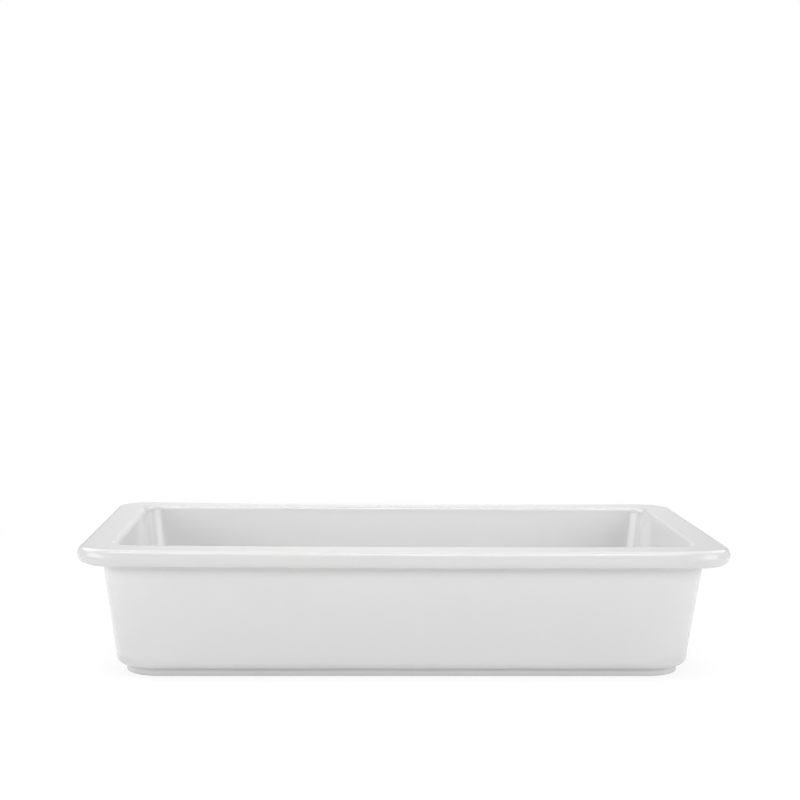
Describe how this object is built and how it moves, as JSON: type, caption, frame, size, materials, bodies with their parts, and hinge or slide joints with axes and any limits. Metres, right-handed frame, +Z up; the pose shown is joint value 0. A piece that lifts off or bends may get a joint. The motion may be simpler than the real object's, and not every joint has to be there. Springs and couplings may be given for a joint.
{
  "type": "baking dish",
  "caption": "Rectangular white porcelain baking dish with tapered walls, a flat overhanging rolled rim and a low foot ring, for oven cooking and serving in gastronorm frames.",
  "frame": {"origin": "centre of the dish in plan, on the surface that its foot ring stands on", "axes": "+X along the length, +Y across the width away from the viewer of the picture, +Z up out of the cavity"},
  "size_m": [0.325, 0.176, 0.067],
  "materials": {
    "porcelain": "white transparent gloss glaze, foot ring ground bare"
  },
  "bodies": {
    "root": {"dish": "porcelain"}
  },
  "joints": []
}
